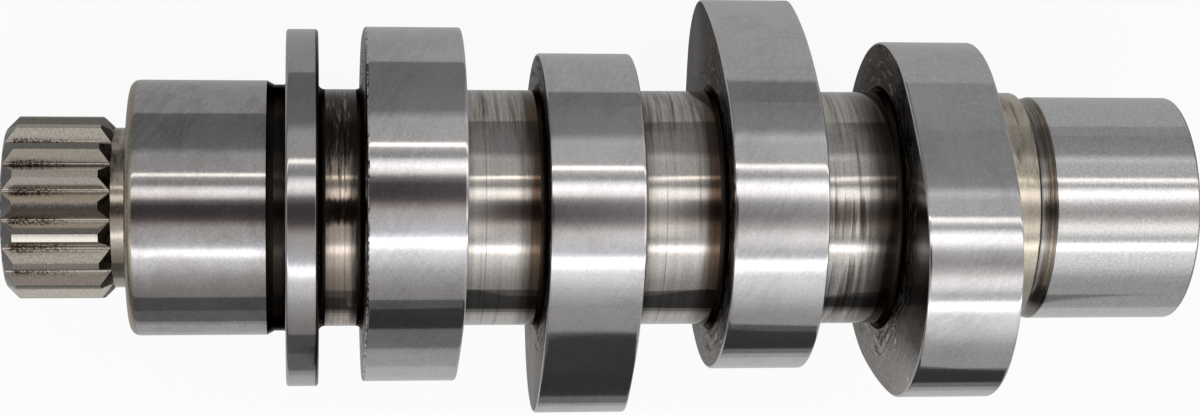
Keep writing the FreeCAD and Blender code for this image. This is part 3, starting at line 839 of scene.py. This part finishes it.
def swirlEffect(group, given):
    # Faint arcs that polishing left, in three overlapping fans
    fanCentres = [(0.03, -0.05, 0.01), (-0.07, -0.02, 0.06), (-0.12, 0.05, 0.03)]
    total = 0.0
    for centre in fanCentres:
        reach = group.nodes.new("ShaderNodeVectorMath")
        reach.operation = "DISTANCE"
        group.links.new(objectPlace(group), reach.inputs[0])
        reach.inputs[1].default_value = centre
        wobble = noise(group, stretched(group, 120.0, 120.0), detail=2.0)
        wavy = plus(group, reach.outputs["Value"], times(group, wobble, 0.004))
        arc = group.nodes.new("ShaderNodeTexNoise")
        arc.noise_dimensions = "1D"
        arc.inputs["Scale"].default_value = 1.0
        arc.inputs["Detail"].default_value = 3.0
        group.links.new(times(group, wavy, given["Density"]), arc.inputs["W"])
        here = mapped(group, noise(group, stretched(group, 90.0, 90.0), detail=1.0), 0.4, 0.6)
        thin = mapped(group, arc.outputs["Fac"], 0.4, 0.75)
        total = plus(group, total, times(group, thin, here))
    return {"Level": computed(group, "MINIMUM", total, 1.0)}


def gougeEffect(group, given):
    # Torn arcs that the lathe tool left on the lobes' sides, deep beside the neck and faint near the rim
    reach, place = fromAxis(group)
    wander = noise(group, stretched(group, 190.0, 190.0), detail=2.0, roughness=0.6)
    wander = minus(group, wander, 0.5)
    wavy = plus(group, reach, times(group, wander, 0.0035))
    arc = group.nodes.new("ShaderNodeCombineXYZ")
    group.links.new(times(group, wavy, given["Rings"]), arc.inputs["X"])
    for axis in ("Y", "Z"):
        turned = computed(group, "DIVIDE", place[axis], reach)
        group.links.new(times(group, turned, given["Breaks"]), arc.inputs[axis])
    torn = noise(group, arc.outputs[0], detail=3.0, roughness=0.55, distortion=0.3)
    edge = plus(group, reach, times(group, wander, 0.008))
    near = mapped(group, edge, given["Inner"], given["Outer"], 1.0, 0.0)
    cut = times(group, mapped(group, torn, 0.38, 0.46, 1.0, 0.0), near)
    ridge = times(group, mapped(group, torn, 0.52, 0.66), plus(group, near, 0.3))
    return {"Cut": cut, "Ridge": ridge, "NearNeck": near,
            "Height": times(group, minus(group, ridge, cut), given["Depth"])}


def neckEndEffect(group, given):
    # How near a place on a neck is to the shoulders at its ends, which sets the painted shade there, and the
    # one fine line scribed round it
    back = minus(group, given["First"], separated(group, objectPlace(group))["X"])
    local = computed(group, "FLOORED_MODULO", back, shaft["lobePitch"] * mm)
    cloud = noise(group, stretched(group, 1300.0, 90.0), detail=3.0, roughness=0.6)
    uneven = times(group, minus(group, cloud, 0.5), 0.0018)
    wavy = plus(group, local, uneven)
    start = minus(group, given["Gap"], given["Rear"])
    full = minus(group, given["Gap"], times(group, given["Rear"], 0.28))
    rear = mapped(group, wavy, start, full)
    front = mapped(group, wavy, 0.0, given["Front"], 0.75, 0.0)
    aside = computed(group, "ABSOLUTE", minus(group, local, 0.0031))
    worn = mapped(group, noise(group, stretched(group, 10.0, 250.0), detail=2.0), 0.3, 0.6, 0.2, 0.7)
    line = mapped(group, aside, 0.00003, 0.0001, 1.0, 0.0)
    return {"Grime": computed(group, "MAXIMUM", rear, front), "Scribed": times(group, line, worn)}


def gapGrimeEffect(group, given):
    # Residue low in the spline's gaps, most of it near the open end
    reach, place = fromAxis(group)
    deep = mapped(group, reach, given["Floor"], given["Top"], 1.0, 0.0)
    ahead = mapped(group, place["X"], given["Back"], given["Front"], 0.4, 1.0)
    faded = mapped(group, place["X"], given["FadeStart"], given["FadeEnd"], 1.0, 0.2)
    return {"Amount": times(group, deep, times(group, ahead, faded))}


speckle = makeGroup("speckle", {"Along": 4000.0, "Around": 900.0, "Depth": 1e-6}, speckleEffect)
gouges = makeGroup("gouges", {"Inner": 0.0172, "Outer": 0.0225, "Rings": 1700.0, "Breaks": 5.0,
                              "Depth": 5e-6}, gougeEffect)
neckEnds = makeGroup("neckEnds", {"First": 0.0, "Gap": 0.01, "Front": 0.0012, "Rear": 0.0026}, neckEndEffect)
gapGrime = makeGroup("gapGrime", {"Floor": 0.01, "Top": 0.0108, "Back": 0.0125, "Front": 0.0215,
                                  "FadeStart": 0.0217, "FadeEnd": 0.0228}, gapGrimeEffect)
swirls = makeGroup("swirls", {"Density": 1500.0}, swirlEffect)
turningLines = makeGroup("turningLines", {"Density": 1500.0, "Waver": 15.0, "Depth": 2e-6}, turningEffect)
stainAndShade = makeGroup("stainAndShade", {"Along": 300.0, "Around": 300.0, "Cover": 0.3, "Softness": 0.06}, stainAndShadeEffect)


def useGroup(tree, group, **values):
    node = tree.nodes.new("ShaderNodeGroup")
    node.node_tree = group
    for name, value in values.items():
        feed(tree, node.inputs[name], value)
    return node.outputs


# Layers of a finish: each changes the look's colour, shade, roughness or height


def shadeBy(tree, look, factor):
    look["shade"] = times(tree, look["shade"], factor)


def shadeWhere(tree, look, mask, factor):
    shadeBy(tree, look, mapped(tree, mask, 0.0, 1.0, 1.0, factor))


def colourWhere(tree, look, mask, colour):
    look["colour"] = mixed(tree, mask, look["colour"], opaque(colour))


def roughenWhere(tree, look, mask, amount):
    look["rough"] = plus(tree, look["rough"], times(tree, mask, amount))


def grained(tree, finish):
    grain = finish["grain"]
    shade = grain["shade"]
    rough = finish["rough"]
    speckled = useGroup(tree, speckle, Around=grain.get("around", usual["around"]), Depth=grain["height"])
    return {"colour": opaque(finish["colour"]), "metallic": 1.0, "height": speckled["Height"],
            "rough": mapped(tree, speckled["Level"], 0.2, 0.8, rough * 0.8, rough * 1.25),
            "shade": mapped(tree, speckled["Level"], 0.25, 0.75, 1 - shade, 1 + shade)}


def gougeLayer(tree, look, gouge):
    cuts = useGroup(tree, gouges, Depth=gouge["height"])
    # Painted shade: the side's colour is darker near the neck
    colourWhere(tree, look, cuts["NearNeck"], gouge["innerColour"])
    shadeWhere(tree, look, cuts["Cut"], gouge["cutShade"])
    shadeWhere(tree, look, cuts["Ridge"], gouge["ridgeShade"])
    look["height"] = plus(tree, look["height"], cuts["Height"])
    look["metallic"] = mapped(tree, cuts["Cut"], 0.0, 1.0, 1.0, gouge["cutMetal"])
    roughenWhere(tree, look, cuts["Cut"], gouge["cutRough"])


def neckEndLayer(tree, look, ends):
    first, length = necks[ends["neck"]]
    near = useGroup(tree, neckEnds, First=first * mm, Gap=length * mm, Front=ends["front"], Rear=ends["rear"])
    # Painted shade: each neck darkens towards the faces at its ends
    colourWhere(tree, look, near["Grime"], ends["colour"])
    shadeWhere(tree, look, near["Scribed"], 0.4)


def stainAndShadeLayer(tree, look, mark):
    # A cover given across the shaft is painted shade: it darkens some bands of a neck more than others
    if "across" in mark:
        cover = acrossShaft(tree, mark["across"])
    elif "gapCover" in mark:
        amount = useGroup(tree, gapGrime)["Amount"]
        cover = mapped(tree, amount, 0.0, 1.0, mark["cover"], mark["gapCover"])
        colourWhere(tree, look, times(tree, amount, 0.5), mark["gapColour"])
    else:
        cover = mark["cover"]
    along, around = mark["scale"]
    mask = useGroup(tree, stainAndShade, Along=along, Around=around, Cover=cover,
                    Softness=mark.get("soft", usual["soft"]))["Mask"]
    colourWhere(tree, look, mask, mark["colour"])
    roughenWhere(tree, look, mask, mark.get("rough", usual["stainRough"]))


def paintedLightLayer(tree, look, paintedLight):
    # Painted light: the colour lightens across the shaft towards +Y
    colourWhere(tree, look, acrossShaft(tree, paintedLight["across"]), paintedLight["colour"])


def lineLayer(tree, look, cut):
    lines = useGroup(tree, turningLines, Depth=cut["height"], Density=cut.get("density", usual["density"]))
    spread = cut["shade"]
    shadeBy(tree, look, mapped(tree, lines["Level"], 0.25, 0.75, 1 - spread, 1 + spread))
    deep = times(tree, lines["Deep"], cut.get("deepShade", spread))
    shadeBy(tree, look, minus(tree, 1.0, deep))
    look["height"] = plus(tree, look["height"], lines["Height"])


def swirlLayer(tree, look, strength):
    shadeWhere(tree, look, useGroup(tree, swirls)["Level"], 1 - strength)


layers = {"gouge": gougeLayer, "ends": neckEndLayer, "stainAndShade": stainAndShadeLayer, "paintedLight": paintedLightLayer,
          "lines": lineLayer, "swirl": swirlLayer}


def steelMaterial(name):
    finish = steels[name]
    material = bpy.data.materials.new(name)
    material.use_nodes = True
    tree = material.node_tree
    shader = tree.nodes["Principled BSDF"]
    if "edgeTint" in finish:
        shader.inputs["Specular Tint"].default_value = opaque(finish["edgeTint"])
    look = grained(tree, finish)
    for word, layer in layers.items():
        if word in finish:
            layer(tree, look, finish[word])
    level = tree.nodes.new("ShaderNodeCombineColor")
    for socket in level.inputs:
        tree.links.new(look["shade"], socket)
    bump = tree.nodes.new("ShaderNodeBump")
    bump.inputs["Distance"].default_value = 1.0
    tree.links.new(look["height"], bump.inputs["Height"])
    feed(tree, shader.inputs["Base Color"], mixed(tree, 1.0, look["colour"], level.outputs[0], "MULTIPLY"))
    feed(tree, shader.inputs["Roughness"], look["rough"])
    feed(tree, shader.inputs["Metallic"], look["metallic"])
    feed(tree, shader.inputs["Normal"], bump.outputs["Normal"])
    return material


for name in finishes:
    camshaft.data.materials.append(steelMaterial(name))
print("finishes made")


# Floor, which shows white and keeps a faint shadow

floorPlan = {"size": 3.0, "height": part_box("camshaft")[0][2], "white": 0.93, "matte": 0.9}


def stagePiece(bm, name):
    mesh = bpy.data.meshes.new(name)
    bm.to_mesh(mesh)
    bm.free()
    piece = bpy.data.objects.new(name, mesh)
    bpy.context.scene.collection.objects.link(piece)
    material = bpy.data.materials.new(name)
    material.use_nodes = True
    material.node_tree.nodes.clear()
    mesh.materials.append(material)
    return piece, material.node_tree


def blended(tree, share, first, second):
    mix = tree.nodes.new("ShaderNodeMixShader")
    for socket, value in zip(mix.inputs, (share, first, second)):
        tree.links.new(value, socket)
    return mix.outputs[0]


def surface(tree, shader, kind="ShaderNodeOutputMaterial"):
    tree.links.new(shader, tree.nodes.new(kind).inputs["Surface"])


def makeFloor():
    bm = bmesh.new()
    bmesh.ops.create_grid(bm, x_segments=1, y_segments=1, size=floorPlan["size"],
                          matrix=Matrix.Translation((0, 0, floorPlan["height"])))
    tree = stagePiece(bm, "floor")[1]
    matte = tree.nodes.new("ShaderNodeBsdfDiffuse")
    matte.inputs["Color"].default_value = opaque([floorPlan["matte"]] * 3)
    glow = tree.nodes.new("ShaderNodeEmission")
    path = tree.nodes.new("ShaderNodeLightPath").outputs
    seen = computed(tree, "MAXIMUM", path["Is Camera Ray"], path["Is Glossy Ray"])
    seen = computed(tree, "MAXIMUM", seen, path["Is Transmission Ray"])
    share = times(tree, seen, floorPlan["white"])
    surface(tree, blended(tree, share, matte.outputs[0], glow.outputs[0]))


makeFloor()
print("floor made")


# Light tent: its level by the angle round the shaft, from straight up towards -Y (positive) and +Y
# (negative). It changes from the front row to the rear row as the direction leans towards the rear end.
# Far past both ends it is an even grey.

tent = {
    "strength": 2.2,
    "rearFrom": -0.03,  # the direction's X where the change to the rear row starts and ends
    "rearTo": -0.29,
    "endLevel": 0.32,
    "endFrom": 0.55,    # the direction's X, either way, where the change to the even grey starts and ends
    "endTo": 0.95,
    # Angle in degrees and level, with the tints of red and blue where they aren't 1
    "front": [
        (-180, 0.4), (-95, 0.38, 1.03, 0.98), (-76, 0.3, 1.03, 0.97), (-68, 0.33, 1.03, 0.97),
        (-60, 0.42, 1.03, 0.98), (-52, 0.55, 1.02, 0.99), (-45, 0.82, 1.01, 1.0), (-38, 1.05),
        (-34.6, 1.35), (-31.8, 2.1), (-27.6, 2.1, 1.0, 1.02), (-24.6, 1.05, 0.98, 1.05),
        (-21, 0.74, 0.99, 1.03), (-12, 0.58, 1.04, 0.97), (-7.5, 0.56, 1.06, 0.96),
        (-3.5, 0.34, 1.12, 0.97), (0.5, 0.11, 1.22, 1.0), (5, 0.065, 1.2, 1.02),
        (12.5, 0.065, 1.15, 1.02), (17.5, 0.24, 1.08, 1.0), (20.6, 1.1, 1.06, 0.97),
        (25, 1.6, 1.04, 0.98), (28.6, 1.1, 1.02, 1.0), (31, 0.4), (34, 0.38, 1.0, 0.99),
        (38.4, 0.62, 1.03, 0.96), (39.3, 2.0, 1.04, 0.93), (41.0, 2.0, 1.04, 0.93),
        (42.0, 0.5, 1.02, 0.97), (59, 0.48), (66, 0.22, 1.0, 1.03), (104, 0.18, 1.0, 1.02)
    ],
    "rear": [
        (-180, 0.4), (-76, 0.37), (-66, 0.43), (-52, 0.77), (-45, 0.87), (-38, 0.96), (-34.6, 1.25),
        (-31.8, 2.1), (-27.6, 1.9), (-24.4, 0.72, 0.98, 1.03), (-20, 0.6), (-16, 0.9, 1.01, 0.98),
        (-12, 1.15, 1.01, 0.98), (-7.5, 1.08, 1.02, 0.98), (-3, 0.7, 1.03, 0.97), (1, 0.52, 1.04, 0.98),
        (5, 0.41, 1.04, 0.99), (9, 0.46, 1.03, 1.0), (14, 0.6, 1.02, 1.0), (17.5, 0.95, 1.02, 0.99),
        (21, 1.4, 1.01, 0.99), (26.5, 1.6, 1.01, 0.99), (30, 1.0), (32.5, 0.45), (36, 0.66, 1.01, 0.99),
        (38.4, 1.5, 1.02, 0.96), (40.4, 1.5, 1.02, 0.96), (42.0, 0.5), (56, 0.53), (61, 0.68),
        (68, 0.32), (86, 0.27)
    ],
}


def tentLevels(tree, share, levels):
    stops = []
    for angle, level, *tint in levels:
        red, blue = tint or (1, 1)
        value = level / tent["strength"]
        stops.append(((angle + 180) / 360, (value * red, value, value * blue)))
    return ramped(tree, share, stops)


def makeWorld():
    world = bpy.data.worlds.new("lightTent")
    bpy.context.scene.world = world
    world.use_nodes = True
    tree = world.node_tree
    tree.nodes.clear()
    direction = separated(tree, tree.nodes.new("ShaderNodeTexCoord").outputs["Generated"])
    turn = computed(tree, "ARCTAN2", times(tree, direction["Y"], -1.0), direction["Z"])
    share = plus(tree, computed(tree, "DIVIDE", turn, 2 * pi), 0.5)
    lean = mapped(tree, direction["X"], tent["rearTo"], tent["rearFrom"], 1.0, 0.0)
    levels = mixed(tree, lean, tentLevels(tree, share, tent["front"]), tentLevels(tree, share, tent["rear"]))
    past = mapped(tree, computed(tree, "ABSOLUTE", direction["X"]), tent["endFrom"], tent["endTo"])
    grey = tent["endLevel"] / tent["strength"]
    surround = tree.nodes.new("ShaderNodeBackground")
    surround.inputs["Strength"].default_value = tent["strength"]
    tree.links.new(mixed(tree, past, levels, (grey, grey, grey, 1)), surround.inputs["Color"])
    white = tree.nodes.new("ShaderNodeBackground")
    path = tree.nodes.new("ShaderNodeLightPath").outputs
    mix = blended(tree, path["Is Camera Ray"], surround.outputs[0], white.outputs[0])
    surface(tree, mix, "ShaderNodeOutputWorld")


makeWorld()
print("light tent made")


# Cards beside the shaft that only its reflections show

cards = {
    "lift": 0.0004,  # of the first above the floor, and of each above the one before
    # Each card's level and its corners
    "onFloor": {
        "greyNear": (0.41, [(-2.9, -0.2), (2.9, -0.2), (2.9, 0.15), (-2.9, 0.15)]),
        "greyWide": (0.38, [(-2.9, 0.08), (2.9, 0.08), (2.9, 2.9), (-2.9, 2.9)]),
        "darkSide": (0.31, [(-2.9, -2.9), (2.9, -2.9), (2.9, -0.128), (-2.9, -0.128)]),
        "lightNear": (0.54, [(-2.9, 0.0), (2.9, 0.0), (2.9, 0.066), (-2.9, 0.066)]),
        "darkMiddle": (0.19, [(-0.128, 0.084), (1.5, 0.084), (1.5, 1.4), (-0.62, 1.4)]),
        "darkerSide": (0.2, [(-0.75, -2.9), (2.9, -2.9), (2.9, -0.128), (-0.11, -0.128)]),
        "blackFar": (0.045, [(-0.135, 0.112), (-0.015, 0.112), (-0.015, 0.4), (-0.221, 0.4)]),
    },
    # Boards that stand on the floor, with the height of their top from the rear to the front
    "standing": {
        "blackBoard": {"y": 0.4, "level": 0.05, "top": [
            (-0.221, 0.0), (-0.19, 0.03), (-0.17, 0.05), (-0.14, 0.06), (-0.12, 0.105),
            (-0.105, 0.13), (-0.085, 0.125), (-0.065, 0.075), (-0.015, 0.055)]},
        "darkBoard": {"y": 0.401, "level": 0.12, "top": [
            (-0.2, 0.02), (-0.17, 0.09), (-0.1, 0.135), (0.1, 0.128), (1.5, 0.128)]},
    },
}


def glowCard(bm, name, level):
    piece, tree = stagePiece(bm, name)
    glow = tree.nodes.new("ShaderNodeEmission")
    glow.inputs["Strength"].default_value = level
    surface(tree, glow.outputs[0])
    piece.visible_camera = False
    piece.visible_diffuse = False
    piece.visible_transmission = False
    piece.visible_shadow = False


def makeCard(name, level, corners, height):
    bm = bmesh.new()
    bm.faces.new([bm.verts.new((x, y, height)) for x, y in corners])
    glowCard(bm, name, level)


def makeBoard(name, board):
    bm = bmesh.new()
    foot = [bm.verts.new((stop[0], board["y"], floorPlan["height"])) for stop in board["top"]]
    edges = [bm.edges.new(pair) for pair in zip(foot, foot[1:])]
    grown = bmesh.ops.extrude_edge_only(bm, edges=edges)["geom"]
    for vert in ofKind(grown, BMVert):
        vert.co.z += min(board["top"], key=lambda stop: abs(stop[0] - vert.co.x))[1]
    glowCard(bm, name, board["level"])


for number, (name, (level, corners)) in enumerate(cards["onFloor"].items(), start=1):
    makeCard(name, level, corners, floorPlan["height"] + cards["lift"] * number)
for name, board in cards["standing"].items():
    makeBoard(name, board)
print("cards made")


# Camera: from above, and a little to the spline's side of the middle

view = {
    "along": -0.012937,  # metres from the front journal's middle
    "distance": 0.31084,
    "height": 78.9,      # degrees up from the floor, on the -Y side
    "yaw": 6.839,        # degrees towards the rear journal
    "lens": 73.95,
    "sensor": 36.0,
    "nearest": 0.01,
}


def makeCamera():
    lens = bpy.data.cameras.new("camera")
    lens.lens = view["lens"]
    lens.sensor_width = view["sensor"]
    lens.clip_start = view["nearest"]
    camera = bpy.data.objects.new("camera", lens)
    bpy.context.scene.collection.objects.link(camera)
    tilt = radians(view["height"])
    yaw = radians(view["yaw"])
    away = Vector((0, -cos(tilt), sin(tilt)))
    up = Vector((0, -sin(tilt), -cos(tilt)))
    back = away * cos(yaw) + Vector((1, 0, 0)) * sin(yaw)
    right = up.cross(back)
    place = Matrix((right, up, back)).transposed().to_4x4()
    place.translation = away * view["distance"] + Vector((view["along"], 0, 0))
    camera.matrix_world = place
    bpy.context.scene.camera = camera


makeCamera()
bpy.context.scene.view_settings.view_transform = "Standard"
print("camera set")
